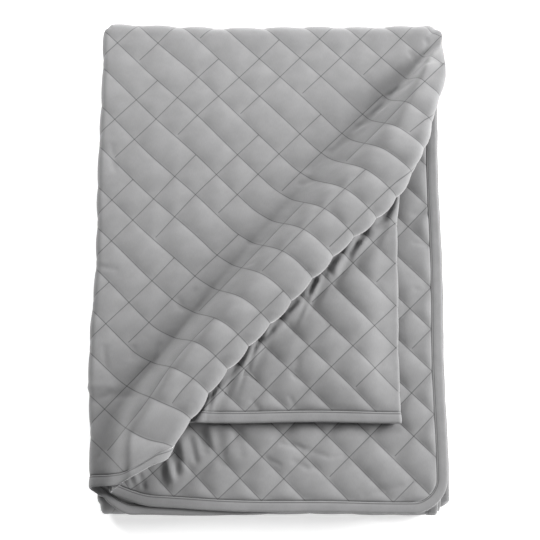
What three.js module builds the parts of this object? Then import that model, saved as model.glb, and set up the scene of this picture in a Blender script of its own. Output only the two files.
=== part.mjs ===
// A diamond-quilted velvet bedspread with a bound edge, folded into a pile of twelve plies.
// Millimetres. +X runs to the right, +Y away from the front of the pile, +Z up.
// A point of the flat cloth is (u, w): u across its width, w along its length from the front edge.
import * as THREE from 'three';

const { clamp, smoothstep } = THREE.MathUtils;

// The flat cloth
const LENGTH = 2560;
const BINDING_WIDTH = 18;
const SEAM_GAP = 0.3;
const CORNER_RADIUS = 58;
const CORNER_STEPS = 3;

// Thickness, each as half of the whole
const PLAIN_HALF = 2.0;
const STITCH_HALF = 0.9;
const FLAP_PUFF_HALF = 4.2;
const BASE_PUFF_HALF = 3.0;
const BACK_PUFF_HALF = 2.3;
const BINDING_HALF = 1.8;

// Quilting: diamonds whose half diagonal is one step
const QUILT_STEP = 36;
const QUILT_CYCLE = 7;
const QUILT_SKIPS = [1, 4];
const QUILT_LANE_SHIFT = 3;

// Across its width the cloth runs back and forth in four plies, one pitch apart
const PLY_PITCH = 6;
const PLIES = [
  { name: 'base', level: 1, from: 293, to: -258, turnSteps: 4 },
  { name: 'flapBack', level: 2, from: -258, to: 306, turnSteps: 6 },
  { name: 'flap', level: 3, from: 306, to: -286, turnSteps: 6 },
  { name: 'bottom', level: 0, from: -286, to: 288, turnSteps: 0 },
];
const TOP_LEVEL = 3 * PLY_PITCH;

// The flap lies back from the front edge of the plies under it
const FLAP_SET_BACK = 54;
const BASE_SKEW = 8;
const SET_BACK_BLEND = 75;

// Along its length the four plies fold in three: top, middle and bottom
const FAR_FOLD_Y = 835;
const FRONT_FOLD_Y = 22;
const FOLD_RADIUS = 3.5;
const FOLD_STEPS = 6;
const LOWER_NARROWING = 0.035;
const PILE_CORNERS = { far: { left: 20, right: 34 }, front: { left: 24, right: 28 } };
const PILE_CORNER_LINE = 42;
const PILE_CORNER_STEP = 14;
const PILE_CORNER_REACH = 80;

// The flap and its back are gathered in one slanting pleat. Rows run along the pleat, columns are
// distances across it: the outer rim, the foot of the slope that climbs to it, and the tucked run.
const PLEAT_ROWS = [
  { along: -160, rim: -170, foot: -290, tuck: 34.5 },
  { along: -60, rim: -180, foot: -297, tuck: 34.5 },
  { along: 90, rim: -203, foot: -318, tuck: 34.5 },
  { along: 240, rim: -211, foot: -347, tuck: 34.5 },
  { along: 400, rim: -219, foot: -360, tuck: 34.5 },
  { along: 515, rim: -214, foot: -366, tuck: 34.5 },
  { along: 615, rim: -238, foot: -370, tuck: 24 },
  { along: 705, rim: -274, foot: -374, tuck: 12 },
  { along: 780, rim: -306, foot: -378, tuck: 10 },
];
const CREST_RADIUS = 10.5;
const NOSE_RADIUS = 8.5;
const CREST_STEPS = 8;
const NOSE_STEPS = 6;
const SLOPE_STEPS = 5;
const SLOPE_CLEAR = 8;
const PLEAT_LENGTH_STEP = 48;
const SLAB_MIDDLE = 2.5 * PLY_PITCH;
const SLAB_REACH = PLY_PITCH / 2 + FLAP_PUFF_HALF;
const PLEAT_RISE = 2 * (CREST_RADIUS + NOSE_RADIUS);
const LEFT_FADE_FROM = -272;
const LEFT_FADE_TO = -222;
const FAR_FADE = 95;

// Where the quilting shows and is raised
const BASE_SIDE_SHOWN = 130;
const BASE_FRONT_SHOWN = 190;
const BASE_FRONT_END = 520;
const FLAP_FAR_SHOWN = 20;

const PANEL_COLOUR = 0x9c9c9e;
const BINDING_COLOUR = 0x8e8e90;

// A cut closer than this to a corner goes through the corner
const SNAP = 1.2;

// A triangle with less than this share of its longest side squared counts as flat
const FLAT_SHARE = 1e-6;
const FLAT_COST = 1e12;

// Lays the plies end to end: where each starts, its direction and the turn that follows it.
function layOutPlies() {
  let start = 0;
  return PLIES.map((ply, k) => {
    const next = PLIES[k + 1];
    const end = start + Math.abs(ply.to - ply.from);
    const climb = next ? (next.level - ply.level) * PLY_PITCH : 0;
    const radius = Math.abs(climb) / 2;
    const turnEnd = end + Math.PI * radius;
    const laid = { ...ply, start, end, turnEnd, radius, climb, direction: Math.sign(ply.to - ply.from) };
    start = turnEnd;
    return laid;
  });
}

const LAID = layOutPlies();
const [BASE, FLAP_BACK, FLAP, BOTTOM] = ['base', 'flapBack', 'flap', 'bottom']
  .map((name) => LAID.find((ply) => ply.name === name));
const WIDTH = BOTTOM.end;
const SEAM = BINDING_WIDTH + SEAM_GAP / 2;
const FOLD_REACH = FOLD_RADIUS + TOP_LEVEL;
const FOLD_LENGTH = Math.PI * FOLD_REACH;

// How far the folded pile reaches
const LEFT_REACH = FLAP.to - FLAP.radius - PLAIN_HALF;
const RIGHT_REACH = FLAP_BACK.to + FLAP_BACK.radius + PLAIN_HALF;
const FRONT_REACH = FRONT_FOLD_Y - FOLD_REACH - PLAIN_HALF;
const FAR_REACH = FAR_FOLD_Y + FOLD_REACH + PLAIN_HALF;

// Section across the width: u along the cloth, h off its middle, to x and height within the plies.
function widthPath(u, h) {
  const ply = LAID.find((each) => u <= each.turnEnd) ?? BOTTOM;
  const height = ply.level * PLY_PITCH;
  if (u <= ply.end || ply.radius === 0) {
    return [ply.from + ply.direction * (u - ply.start), height - ply.direction * h];
  }
  const angle = (u - ply.end) / ply.radius;
  const up = Math.sign(ply.climb);
  const x = ply.to + ply.direction * ply.radius * Math.sin(angle);
  const z = height + ply.climb / 2 - up * ply.radius * Math.cos(angle);
  return [x + up * Math.sin(angle) * h, z - ply.direction * Math.cos(angle) * h];
}

function setBack(u) {
  const firstTurn = (BASE.end + BASE.turnEnd) / 2;
  const lastTurn = (FLAP.end + FLAP.turnEnd) / 2;
  const onto = smoothstep(u, firstTurn - SET_BACK_BLEND, firstTurn + SET_BACK_BLEND);
  const off = smoothstep(u, lastTurn - SET_BACK_BLEND, lastTurn + SET_BACK_BLEND);
  const skew = BASE_SKEW * clamp(u / BASE.end, 0, 1) * (1 - onto);
  return skew + FLAP_SET_BACK * (onto - off);
}

// Distance along the length of the fold path.
const travel = (u, w) => w + setBack(u);

// A smooth curve through one column of the pleat's rows.
function pleatColumn(name, along) {
  const last = PLEAT_ROWS.length - 1;
  const found = PLEAT_ROWS.findIndex((row) => row.along > along) - 1;
  const k = clamp(found < 0 && along > 0 ? last - 1 : found, 0, last - 1);
  const slope = (i) => {
    const [before, after] = [PLEAT_ROWS[Math.max(i - 1, 0)], PLEAT_ROWS[Math.min(i + 1, last)]];
    return (after[name] - before[name]) / (after.along - before.along);
  };
  const [a, b] = [PLEAT_ROWS[k], PLEAT_ROWS[k + 1]];
  const span = b.along - a.along;
  const t = clamp((along - a.along) / span, 0, 1);
  const blend = t * t * (3 - 2 * t);
  const curve = slope(k) * span * t * (1 - t) ** 2 - slope(k + 1) * span * t * t * (1 - t);
  return a[name] + (b[name] - a[name]) * blend + curve;
}

// The pleat's stations across itself, in flat distances: foot, slope's head, crest and the turns.
function pleatStations(along) {
  const rim = pleatColumn('rim', along);
  const tuck = pleatColumn('tuck', along);
  const crest = rim - CREST_RADIUS - SLAB_REACH;
  const under = crest + Math.PI * CREST_RADIUS;
  const nose = under + tuck;
  const head = crest - tuck - NOSE_RADIUS - SLAB_REACH - SLOPE_CLEAR;
  return { foot: pleatColumn('foot', along), head, crest, under, nose, over: nose + Math.PI * NOSE_RADIUS };
}

const across = (x, y) => (x - y) / Math.SQRT2;
const along = (x, y) => (x + y) / Math.SQRT2;

// Folds the flap's two plies, as one slab, through the slanting pleat.
function pleat(x, y, z) {
  const s = across(x, y);
  const t = along(x, y);
  const at = pleatStations(t);
  const off = z - SLAB_MIDDLE;
  const tuckedEnd = at.crest - (at.nose - at.under);
  let [place, height, leanS, leanZ] = [s, 0, 0, 1];
  if (s < at.crest) {
    const climb = Math.sin(clamp((s - at.foot) / (at.head - at.foot), 0, 1) * Math.PI / 2);
    const fade = smoothstep(x, LEFT_FADE_FROM, LEFT_FADE_TO) * smoothstep(FAR_FOLD_Y - y, 0, FAR_FADE);
    height = PLEAT_RISE * climb * fade;
  } else if (s < at.under) {
    const angle = (s - at.crest) / CREST_RADIUS;
    [leanS, leanZ] = [Math.sin(angle), Math.cos(angle)];
    place = at.crest + CREST_RADIUS * leanS;
    height = PLEAT_RISE - CREST_RADIUS * (1 - leanZ);
  } else if (s < at.nose) {
    place = at.crest - (s - at.under);
    height = 2 * NOSE_RADIUS;
    leanZ = -1;
  } else if (s < at.over) {
    const angle = (s - at.nose) / NOSE_RADIUS;
    [leanS, leanZ] = [Math.sin(angle), -Math.cos(angle)];
    place = tuckedEnd - NOSE_RADIUS * leanS;
    height = NOSE_RADIUS * (1 - leanZ);
  } else {
    place = tuckedEnd + (s - at.over);
  }
  place += off * leanS;
  return [(place + t) / Math.SQRT2, (t - place) / Math.SQRT2, SLAB_MIDDLE + height + off * leanZ];
}

// Section along the length: the plies run back, under, forward, under and back again.
function lengthPath(y, z) {
  const middle = PLAIN_HALF + 2 * (TOP_LEVEL + FOLD_RADIUS);
  const top = middle + 2 * FOLD_RADIUS;
  const farEnd = FAR_FOLD_Y + FOLD_LENGTH;
  const frontStart = farEnd + FAR_FOLD_Y - FRONT_FOLD_Y;
  if (y <= FAR_FOLD_Y) return [y, top + z];
  if (y <= farEnd) {
    const angle = (y - FAR_FOLD_Y) / FOLD_REACH;
    const radius = FOLD_RADIUS + z;
    return [FAR_FOLD_Y + radius * Math.sin(angle), middle + FOLD_RADIUS + radius * Math.cos(angle)];
  }
  if (y <= frontStart) return [FAR_FOLD_Y - (y - farEnd), middle - z];
  const radius = FOLD_RADIUS + TOP_LEVEL - z;
  const centre = middle - TOP_LEVEL - FOLD_RADIUS;
  const angle = Math.min((y - frontStart) / FOLD_REACH, Math.PI);
  const beyond = Math.max(y - frontStart - FOLD_LENGTH, 0);
  return [FRONT_FOLD_Y - radius * Math.sin(angle) + beyond, centre + radius * Math.cos(angle)];
}

// Bends a square corner to a quarter circle: a and b are the distances from its two sides.
function bendCorner(a, b, radius) {
  const [fromA, fromB] = [radius - a, radius - b];
  if (fromA <= 0 || fromB <= 0) return [a, b];
  const reach = Math.max(fromA, fromB);
  const angle = Math.PI / 4 * Math.min(fromA, fromB) / reach;
  const [large, small] = [reach * Math.cos(angle), reach * Math.sin(angle)];
  return fromA > fromB ? [radius - large, radius - small] : [radius - small, radius - large];
}

// The cut cloth has round corners, and its binding keeps its width round them.
function roundCloth(u, w) {
  const [a, b] = bendCorner(Math.min(u, WIDTH - u), Math.min(w, LENGTH - w), CORNER_RADIUS);
  return [u < WIDTH / 2 ? a : WIDTH - a, w < LENGTH / 2 ? b : LENGTH - b];
}

// The corners of the folded pile are soft too.
function roundPile(x, y) {
  const isLeft = x < (LEFT_REACH + RIGHT_REACH) / 2;
  const isFront = y < (FRONT_REACH + FAR_REACH) / 2;
  const radius = PILE_CORNERS[isFront ? 'front' : 'far'][isLeft ? 'left' : 'right'];
  const sides = [isLeft ? x - LEFT_REACH : RIGHT_REACH - x, isFront ? y - FRONT_REACH : FAR_REACH - y];
  const [a, b] = bendCorner(...sides, radius);
  return [isLeft ? LEFT_REACH + a : RIGHT_REACH - a, isFront ? FRONT_REACH + b : FAR_REACH - b];
}

// The place of a point of the cloth, h off its middle, in the folded pile.
function place(flatU, flatW, h) {
  const [u, w] = roundCloth(flatU, flatW);
  let [x, z] = widthPath(u, h);
  let y = travel(u, w);
  if (u >= FLAP_BACK.start && u <= FLAP.end) [x, y, z] = pleat(x, y, z);
  const narrowed = x * (1 - LOWER_NARROWING * smoothstep(y, FAR_FOLD_Y, FAR_FOLD_Y + FOLD_LENGTH));
  const [foldedY, foldedZ] = lengthPath(y, z);
  return [...roundPile(narrowed, foldedY), foldedZ];
}

// Quilting
const quiltCell = (v) => Math.floor((v - SEAM) / QUILT_STEP);

// Long stitch lines run one way without a break. The short ones between them skip a cell here and there.
function isStitched(i, j) {
  if ((i + j) % 2 === 0) return true;
  const lane = (i - j - 1) / 2;
  const turn = (i + j - 1) / 2 + QUILT_LANE_SHIFT * lane;
  return !QUILT_SKIPS.includes(((turn % QUILT_CYCLE) + QUILT_CYCLE) % QUILT_CYCLE);
}

// A cell's crease runs along its stitched diagonal, or across it where the stitches skip.
const creaseRises = (i, j) => isStitched(i, j) === ((i + j) % 2 === 0);

function puff(u, w) {
  const [i, j] = [quiltCell(u), quiltCell(w)];
  const [a, b] = [(u - SEAM) / QUILT_STEP - i, (w - SEAM) / QUILT_STEP - j];
  const rising = Math.abs(a - b);
  const falling = Math.abs(a + b - 1);
  if (isStitched(i, j)) return (i + j) % 2 === 0 ? rising : falling;
  return 1 - ((i + j) % 2 === 0 ? falling : rising);
}

const onBaseSide = (u, w) => u < BASE_SIDE_SHOWN && w > SEAM && travel(u, w) < FAR_FOLD_Y;
const onBaseFront = (u, w) => u < BASE_FRONT_END && w < BASE_FRONT_SHOWN;
const onFlap = (u, w) => u > FLAP.start && u < FLAP.end && travel(u, w) < FAR_FOLD_Y + FLAP_FAR_SHOWN;
const isQuilted = (u, w) => onFlap(u, w) || onBaseSide(u, w) || onBaseFront(u, w);
const edgeDistance = (u, w) => Math.min(u, WIDTH - u, w, LENGTH - w);
const inPanel = (u, w) => edgeDistance(u, w) > SEAM;

// Half thickness of the panel on one side of its middle, where a diamond's middle has the given one.
function panelHalf(u, w, puffHalf) {
  if (edgeDistance(u, w) < SEAM + SNAP) return BINDING_HALF;
  if (!isQuilted(u, w)) return PLAIN_HALF;
  return STITCH_HALF + (puffHalf - STITCH_HALF) * puff(u, w);
}
const panelFace = (u, w) => panelHalf(u, w, onFlap(u, w) ? FLAP_PUFF_HALF : BASE_PUFF_HALF);
const panelBack = (u, w) => panelHalf(u, w, BACK_PUFF_HALF);
const bindingFace = () => BINDING_HALF;

// The flat cloth as faces that share their corners, cut up by lines.
class FlatCloth {
  constructor() {
    this.points = [[0, 0], [WIDTH, 0], [WIDTH, LENGTH], [0, LENGTH]];
    this.faces = [[0, 1, 2, 3]];
  }

  middle(face) {
    const sum = face.reduce(([u, w], id) => [u + this.points[id][0], w + this.points[id][1]], [0, 0]);
    return sum.map((each) => each / face.length);
  }

  // Splits the faces of a region where side(u, w) changes sign. Faces beside it take the new corners on.
  cut(side, inRegion = () => true) {
    const values = this.points.map(([u, w]) => side(u, w)).map((d) => (Math.abs(d) < SNAP ? 0 : d));
    const signs = values.map(Math.sign);
    const added = new Map();
    const edgeName = (a, b) => (a < b ? `${a} ${b}` : `${b} ${a}`);
    const cross = (a, b) => {
      const name = edgeName(a, b);
      if (!added.has(name)) {
        const share = values[a] / (values[a] - values[b]);
        const [from, to] = [this.points[a], this.points[b]];
        added.set(name, this.points.length);
        this.points.push([from[0] + share * (to[0] - from[0]), from[1] + share * (to[1] - from[1])]);
      }
      return added.get(name);
    };
    const whole = [];
    const split = [];
    for (const face of this.faces) {
      const crossed = face.some((id) => signs[id] > 0) && face.some((id) => signs[id] < 0);
      if (!crossed || !inRegion(...this.middle(face))) {
        whole.push(face);
        continue;
      }
      const [low, high] = [[], []];
      face.forEach((id, k) => {
        const next = face[(k + 1) % face.length];
        if (signs[id] <= 0) low.push(id);
        if (signs[id] >= 0) high.push(id);
        if (signs[id] * signs[next] < 0) {
          low.push(cross(id, next));
          high.push(cross(id, next));
        }
      });
      split.push(low, high);
    }
    const joined = whole.map((face) => face.flatMap((id, k) => {
      const corner = added.get(edgeName(id, face[(k + 1) % face.length]));
      return corner === undefined ? [id] : [id, corner];
    }));
    this.faces = [...joined, ...split];
  }

  // The best-shaped triangles of one face: the longest side squared over the area is kept small.
  triangles(face) {
    const badness = (a, b, c) => {
      const [p, q, r] = [a, b, c].map((k) => this.points[face[k]]);
      const area = (q[0] - p[0]) * (r[1] - p[1]) - (q[1] - p[1]) * (r[0] - p[0]);
      const side = (from, to) => Math.hypot(to[0] - from[0], to[1] - from[1]);
      const longest = Math.max(side(p, q), side(q, r), side(r, p)) ** 2;
      return area < FLAT_SHARE * longest ? FLAT_COST : longest / area;
    };
    const memo = new Map();
    const best = (a, b) => {
      if (b - a < 2) return { cost: 0, list: [] };
      const name = a * face.length + b;
      if (memo.has(name)) return memo.get(name);
      let choice = { cost: Infinity };
      for (let k = a + 1; k < b; k += 1) {
        const [left, right] = [best(a, k), best(k, b)];
        const cost = left.cost + right.cost + badness(a, k, b);
        if (cost < choice.cost) choice = { cost, list: [...left.list, ...right.list, [a, k, b]] };
      }
      memo.set(name, choice);
      return choice;
    };
    return best(0, face.length - 1).list.map((corners) => corners.map((k) => face[k]));
  }
}

const beforeFlap = (u, w) => u > FLAP_BACK.start && u < FLAP.start && travel(u, w) < FAR_FOLD_Y;
const inSlab = (u, w) => u > FLAP_BACK.start && u < FLAP.end && travel(u, w) < FAR_FOLD_Y;

function cutSeamsAndCorners(cloth) {
  cloth.cut((u) => u - SEAM);
  cloth.cut((u) => WIDTH - SEAM - u);
  cloth.cut((u, w) => w - SEAM);
  cloth.cut((u, w) => LENGTH - SEAM - w);
  const near = (u, w) => Math.min(u, WIDTH - u) < CORNER_RADIUS && Math.min(w, LENGTH - w) < CORNER_RADIUS;
  const beside = 2 * CORNER_RADIUS;
  const around = (u, w) => Math.min(u, WIDTH - u) < beside && Math.min(w, LENGTH - w) < beside;
  for (let k = CORNER_STEPS; k > 0; k -= 1) {
    const size = CORNER_RADIUS * k / CORNER_STEPS;
    const region = k === CORNER_STEPS ? around : near;
    cloth.cut((u) => Math.min(u, WIDTH - u) - size, region);
    cloth.cut((u, w) => Math.min(w, LENGTH - w) - size, region);
  }
  cloth.cut((u, w) => Math.min(u, WIDTH - u) - Math.min(w, LENGTH - w), near);
}

function cutFolds(cloth) {
  for (const ply of LAID) {
    for (let k = 0; k <= ply.turnSteps && ply.radius > 0; k += 1) {
      const line = ply.end + Math.PI * ply.radius * k / ply.turnSteps;
      cloth.cut((u) => u - line);
    }
  }
  for (const start of [FAR_FOLD_Y, 2 * FAR_FOLD_Y - FRONT_FOLD_Y + FOLD_LENGTH]) {
    for (let k = 0; k <= FOLD_STEPS; k += 1) {
      const line = start + FOLD_LENGTH * k / FOLD_STEPS;
      cloth.cut((u, w) => travel(u, w) - line);
    }
  }
}

// Lines across the ends of the plies at the two folds, and more on the flap, for the pile's round corners
function cutPileCorners(cloth) {
  const farMiddle = FAR_FOLD_Y + FOLD_LENGTH / 2;
  const frontMiddle = farMiddle + FAR_FOLD_Y - FRONT_FOLD_Y + FOLD_LENGTH;
  const atFar = (u, w) => Math.abs(travel(u, w) - farMiddle) < PILE_CORNER_REACH;
  const atFolds = (u, w) => atFar(u, w) || Math.abs(travel(u, w) - frontMiddle) < PILE_CORNER_REACH;
  for (const ply of LAID) {
    for (const line of [ply.start + PILE_CORNER_LINE, ply.end - PILE_CORNER_LINE]) {
      cloth.cut((u) => u - line, atFolds);
    }
  }
  for (let inset = PILE_CORNER_STEP; inset < PILE_CORNER_LINE; inset += PILE_CORNER_STEP) {
    cloth.cut((u) => FLAP_BACK.end - inset - u, atFar);
    cloth.cut((u) => u - FLAP.start - inset, atFar);
    cloth.cut((u) => FLAP.end - inset - u, atFar);
  }
}

function cutSetBack(cloth) {
  for (const turn of [(BASE.end + BASE.turnEnd) / 2, (FLAP.end + FLAP.turnEnd) / 2]) {
    for (const part of [-1, -0.5, 0.5, 1]) cloth.cut((u) => u - turn - part * SET_BACK_BLEND);
  }
}

function cutQuilting(cloth) {
  const inQuilt = (u, w) => inPanel(u, w) && isQuilted(u, w);
  for (const region of [onFlap, onBaseSide, onBaseFront]) {
    const shown = (u, w) => inPanel(u, w) && region(u, w);
    for (let line = SEAM; line < WIDTH; line += QUILT_STEP) cloth.cut((u) => u - line, shown);
    for (let line = SEAM; line < FAR_FOLD_Y + FOLD_LENGTH; line += QUILT_STEP) {
      cloth.cut((u, w) => w - line, shown);
    }
  }
  const cells = new Map();
  for (const face of cloth.faces) {
    const [u, w] = cloth.middle(face);
    if (inQuilt(u, w)) cells.set(`${quiltCell(u)} ${quiltCell(w)}`, [quiltCell(u), quiltCell(w)]);
  }
  for (const [i, j] of cells.values()) {
    const [u0, w0] = [SEAM + i * QUILT_STEP, SEAM + j * QUILT_STEP];
    const inCell = (u, w) => quiltCell(u) === i && quiltCell(w) === j && inQuilt(u, w);
    const side = creaseRises(i, j)
      ? (u, w) => ((u - u0) - (w - w0)) / Math.SQRT2
      : (u, w) => ((u - u0) + (w - w0) - QUILT_STEP) / Math.SQRT2;
    cloth.cut(side, inCell);
  }
}

function cutPleat(cloth) {
  const spot = (u, w) => [widthPath(u, 0)[0], travel(u, w)];
  const between = (from, to, steps) => Array.from({ length: steps + 1 }, (_, k) => (
    (at) => at[from] + (at[to] - at[from]) * k / steps));
  const lines = [
    ...between('foot', 'head', SLOPE_STEPS),
    ...between('crest', 'under', CREST_STEPS),
    ...between('nose', 'over', NOSE_STEPS),
  ];
  for (let line = PLEAT_ROWS[0].along; line < PLEAT_ROWS.at(-1).along; line += PLEAT_LENGTH_STEP) {
    cloth.cut((u, w) => along(...spot(u, w)) - line, beforeFlap);
  }
  for (const line of lines) {
    cloth.cut((u, w) => across(...spot(u, w)) - line(pleatStations(along(...spot(u, w)))), inSlab);
  }
}

// A closed solid on both sides of the chosen triangles of the flat cloth.
function thicken(points, triangles, faceHalf, backHalf) {
  const used = [...new Set(triangles.flat())];
  const order = new Map(used.map((id, k) => [id, k]));
  const front = used.map((id) => place(...points[id], faceHalf(...points[id])));
  const back = used.map((id) => place(...points[id], -backHalf(...points[id])));
  const list = triangles.map((corners) => corners.map((id) => order.get(id)));
  const edges = new Set(list.flatMap(([a, b, c]) => [`${a} ${b}`, `${b} ${c}`, `${c} ${a}`]));
  const shift = used.length;
  const indices = [];
  for (const [a, b, c] of list) {
    indices.push(a, c, b, a + shift, b + shift, c + shift);
    for (const [from, to] of [[a, b], [b, c], [c, a]]) {
      if (edges.has(`${to} ${from}`)) continue;
      // Two solids that meet at a seam split its faces along the same diagonal.
      if (used[from] < used[to]) indices.push(to + shift, from + shift, to, from + shift, from, to);
      else indices.push(to + shift, from + shift, from, to + shift, from, to);
    }
  }
  const geometry = new THREE.BufferGeometry();
  geometry.setAttribute('position', new THREE.Float32BufferAttribute([...front, ...back].flat(), 3));
  geometry.setIndex(indices);
  geometry.computeVertexNormals();
  return geometry;
}

function cutCloth() {
  const cloth = new FlatCloth();
  cutSeamsAndCorners(cloth);
  cutSetBack(cloth);
  cutFolds(cloth);
  cutPileCorners(cloth);
  cutQuilting(cloth);
  cutPleat(cloth);
  return cloth;
}

const cloth = cutCloth();
const trianglesOf = (chosen) => cloth.faces.filter(chosen).flatMap((face) => cloth.triangles(face));
const isPanel = (face) => inPanel(...cloth.middle(face));

// The panel and its binding part at the seam, half of the gap each.
const inside = (v, size) => clamp(v, SEAM + SEAM_GAP / 2, size - SEAM - SEAM_GAP / 2);
function outside(v, size) {
  const near = Math.min(v, size - v);
  if (near > SEAM + SNAP) return v;
  const kept = Math.min(near, SEAM - SEAM_GAP / 2);
  return v < size / 2 ? kept : size - kept;
}
const panelPoints = cloth.points.map(([u, w]) => [inside(u, WIDTH), inside(w, LENGTH)]);
const bindingPoints = cloth.points.map(([u, w]) => [outside(u, WIDTH), outside(w, LENGTH)]);

const panel = new THREE.Mesh(
  thicken(panelPoints, trianglesOf(isPanel), panelFace, panelBack),
  new THREE.MeshStandardMaterial({ color: PANEL_COLOUR, roughness: 0.85, metalness: 0 }),
);
panel.name = 'quilted_panel';

const binding = new THREE.Mesh(
  thicken(bindingPoints, trianglesOf((face) => !isPanel(face)), bindingFace, bindingFace),
  new THREE.MeshStandardMaterial({ color: BINDING_COLOUR, roughness: 0.85, metalness: 0 }),
);
binding.name = 'edge_binding';

// The origin is under the middle of the folded pile.
const bedspread = new THREE.Group();
bedspread.name = 'bedspread';
bedspread.add(panel, binding);
bedspread.position.set(-(LEFT_REACH + RIGHT_REACH) / 2, -(FRONT_REACH + FAR_REACH) / 2, 0);

export default bedspread;
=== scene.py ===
# A diamond-quilted velvet bedspread with a bound edge, folded into a pile of twelve plies.
# Sizes are in millimetres and become metres where a mesh is made. +X runs to the right, +Y away from
# the front of the pile, +Z up. A point of the flat cloth is (u, w): u across its width, w along its
# length from the front edge. Its velvet face is on the side of positive heights.
import math
from types import SimpleNamespace

import bpy
import numpy as np
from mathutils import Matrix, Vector


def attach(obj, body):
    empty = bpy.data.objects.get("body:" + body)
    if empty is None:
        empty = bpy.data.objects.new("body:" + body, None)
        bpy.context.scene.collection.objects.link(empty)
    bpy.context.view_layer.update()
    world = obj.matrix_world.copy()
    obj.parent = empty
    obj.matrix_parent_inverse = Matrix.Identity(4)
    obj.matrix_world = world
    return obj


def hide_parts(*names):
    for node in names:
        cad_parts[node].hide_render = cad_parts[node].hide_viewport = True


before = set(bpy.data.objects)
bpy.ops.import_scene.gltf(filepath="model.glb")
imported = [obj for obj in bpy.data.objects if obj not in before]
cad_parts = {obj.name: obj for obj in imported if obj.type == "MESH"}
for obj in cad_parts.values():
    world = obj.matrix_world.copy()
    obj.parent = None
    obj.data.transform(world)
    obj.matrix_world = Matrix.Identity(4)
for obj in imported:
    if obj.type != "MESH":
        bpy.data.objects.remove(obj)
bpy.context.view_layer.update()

MM = 0.001

# The flat cloth
LENGTH = 2560.0
BINDING_WIDTH = 18.0
SEAM_GAP = 0.3
CORNER_RADIUS = 58.0
SEAM = BINDING_WIDTH + SEAM_GAP / 2
PANEL_EDGE = SEAM + SEAM_GAP / 2

# Thickness, each as half of the whole
PLAIN_HALF = 2.0
STITCH_HALF = 0.9
FLAP_PUFF_HALF = 3.7
BEYOND_RIM_PUFF_HALF = 5.6
BASE_PUFF_HALF = 5.2
SLOPE_PUFF_HALF = 5.4
PLAIN_PUFF_HALF = 1.9
THINNEST_HALF = 0.5

# Quilting: diamonds whose half diagonal is one step
QUILT_STEP = 36.0
QUILT_LANE = QUILT_STEP * math.sqrt(2)
QUILT_CYCLE = 7
QUILT_SKIPS = (1, 4)
QUILT_LANE_SHIFT = 3
PUFF_POWER = 2.2
PUFF_SPREAD = 0.16
PUFF_RHYTHM = (2.3, 1.7, 0.9)
EDGE_SOFT = 14.0
FOLD_SOFT = 45.0

# Across its width the cloth runs back and forth in four plies, one pitch apart
PLY_PITCH = 6.0
PLIES = (
    # level, x from, x to: the base, the flap's back, the flap and the bottom
    (1, 293.0, -258.0),
    (2, -258.0, 306.0),
    (3, 306.0, -286.0),
    (0, -286.0, 288.0),
)
TOP_LEVEL = (len(PLIES) - 1) * PLY_PITCH

# The flap lies back from the front edge of the plies under it, less so near its left turn. The base's
# edge slants a little, and the bottom ply's edge stands forward beside that turn.
FLAP_SET_BACK = 54.0
SET_BACK_BLEND = 75.0
SET_BACK_LEAD = 12.0
FLAP_FORWARD = 12.0
FLAP_FORWARD_REACH = (60.0, 180.0)
BASE_SKEW = 10.0
BASE_SKEW_FROM = 0.4
BOTTOM_LEAD = 4.0
BOTTOM_LEAD_FADE = (140.0, 340.0)

# Along its length the four plies fold in three: top, middle and bottom
FAR_FOLD_Y = 835.0
FRONT_FOLD_Y = 22.0
FOLD_RADIUS = 3.5
LOWER_NARROWING = 0.035
PILE_CORNERS = {"far_left": 20.0, "far_right": 34.0, "front_left": 30.0, "front_right": 28.0}

# The flap and its back are gathered in one slanting pleat. Rows run along the pleat, columns are
# distances across it: the outer rim, the foot of the slope that climbs to it, and the gathered cloth.
ALONG, RIM, FOOT, GATHER = range(4)
PLEAT_ROWS = np.array((
    # along, rim, foot, gather
    (-160.0, -143.0, -288.0, 34.5),
    (-90.0, -162.0, -292.0, 34.5),
    (-25.0, -182.0, -298.0, 34.5),
    (90.0, -203.0, -314.0, 34.5),
    (240.0, -211.0, -339.0, 34.5),
    (400.0, -219.0, -349.0, 34.5),
    (515.0, -214.0, -354.0, 34.5),
    (615.0, -236.0, -357.0, 24.0),
    (705.0, -274.0, -362.0, 12.0),
    (780.0, -306.0, -372.0, 10.0),
))
CREST_RADIUS = 10.5
NOSE_RADIUS = 9.0
PLEAT_RISE = 2 * (CREST_RADIUS + NOSE_RADIUS)
SLAB_MIDDLE = TOP_LEVEL - PLY_PITCH / 2
SLAB_REACH = PLY_PITCH / 2 + BEYOND_RIM_PUFF_HALF
SLOPE_CLEAR = 2.0
SLOPE_POWER = 1.4
SLOPE_DOME = 6.0
SLOPE_TAKE_UP = 0.6
LEFT_FADE = (-272.0, -222.0)
FAR_FADE = 95.0

# The slope is dragged along the rim, from before its foot to past its head
PLEAT_DRAG = 30.0
DRAG_LEAD = 45.0
DRAG_FULL = 30.0
DRAG_FAR_FADE = (60.0, 330.0)

# Near the front edge the drag and the take-up come late: from and to, past the crest
FRONT_DRAG = (-34.0, 16.0)
FRONT_TAKE_UP = (-40.0, 40.0)
FRONT_LATE_REACH = 190.0

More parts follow.
